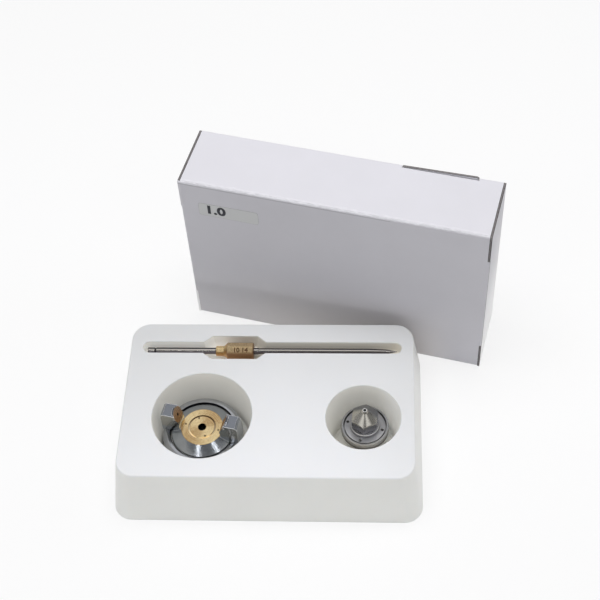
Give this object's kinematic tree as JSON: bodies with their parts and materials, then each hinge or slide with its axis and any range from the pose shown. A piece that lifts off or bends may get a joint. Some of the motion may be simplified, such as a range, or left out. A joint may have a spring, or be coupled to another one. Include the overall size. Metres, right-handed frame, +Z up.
{
  "type": "hvlp spray gun fluid tip set",
  "caption": "Spare fluid tip set of an HVLP spray gun: needle, air cap with retaining ring and fluid nozzle in a moulded tray, with its folding carton.",
  "frame": {"origin": "centre of the tray's underside, on the surface that tray and carton stand on", "axes": "+X along the tray from the air cap to the nozzle, +Y towards the carton behind, +Z up"},
  "size_m": [0.1983, 0.1698, 0.1095],
  "materials": {
    "tray": "satin white moulding",
    "rod": "ground",
    "collar": "turned",
    "cap": "dark nickel plate over brass, machined face bare brass",
    "wire": "drawn",
    "washer": "plain",
    "ring": "nickel plate",
    "nozzle": "turned, polished tip",
    "distribution": "turned",
    "seal": "plain",
    "board": "white clay-coated corrugated board",
    "label": "matt sticker"
  },
  "bodies": {
    "tray": {"tray": "tray"},
    "needle": {"needle_rod": "rod", "needle_collar": "collar"},
    "air_cap": {"air_cap": "cap", "cap_snap_ring": "wire", "cap_slip_washer": "washer"},
    "retaining_ring": {"retaining_ring": "ring"},
    "nozzle": {"fluid_nozzle": "nozzle", "air_distribution_ring": "distribution", "nozzle_seal": "seal"},
    "carton": {"carton_base": "board", "carton_top_wall": "board", "carton_bottom_wall": "board", "carton_left_end": "board", "carton_right_end": "board", "left_upper_glue_flap": "board", "left_lower_glue_flap": "board", "right_upper_glue_flap": "board", "right_lower_glue_flap": "board", "size_label": "label"},
    "lid": {"carton_lid": "board"},
    "tuck_flap": {"tuck_flap": "board"},
    "left_dust_flap": {"left_dust_flap": "board"},
    "right_dust_flap": {"right_dust_flap": "board"}
  },
  "joints": [
    {"name": "needle_lift", "type": "slide", "parent": "tray", "child": "needle", "axis": [0, 0, 1], "range_m": [0, 0.06]},
    {"name": "cap_lift", "type": "slide", "parent": "tray", "child": "air_cap", "axis": [0, 0, 1], "range_m": [0, 0.06]},
    {"name": "ring_spin", "type": "hinge", "parent": "air_cap", "child": "retaining_ring", "pos_m": [-0.0345, -0.0105, 0.0032], "axis": [0, 0, 1], "continuous": true},
    {"name": "nozzle_lift", "type": "slide", "parent": "tray", "child": "nozzle", "axis": [0, 0, 1], "range_m": [0, 0.06]},
    {"name": "carton_lift", "type": "slide", "parent": "tray", "child": "carton", "axis": [0, 0, 1], "range_m": [0, 0.06]},
    {"name": "lid_hinge", "type": "hinge", "parent": "carton", "child": "lid", "pos_m": [0.04115, 0.098, 0], "axis": [-0.9722, 0.234, 0], "range_deg": [0, 90]},
    {"name": "tuck_flap_fold", "type": "hinge", "parent": "lid", "child": "tuck_flap", "pos_m": [0.04087, 0.09684, 0.1056], "axis": [0.9722, -0.234, 0], "range_deg": [0, 30]},
    {"name": "left_dust_flap_fold", "type": "hinge", "parent": "lid", "child": "left_dust_flap", "pos_m": [-0.03486, 0.11506, 0.054], "axis": [0, 0, 1], "range_deg": [0, 30]},
    {"name": "right_dust_flap_fold", "type": "hinge", "parent": "lid", "child": "right_dust_flap", "pos_m": [0.11661, 0.07861, 0.054], "axis": [0, 0, -1], "range_deg": [0, 30]}
  ]
}
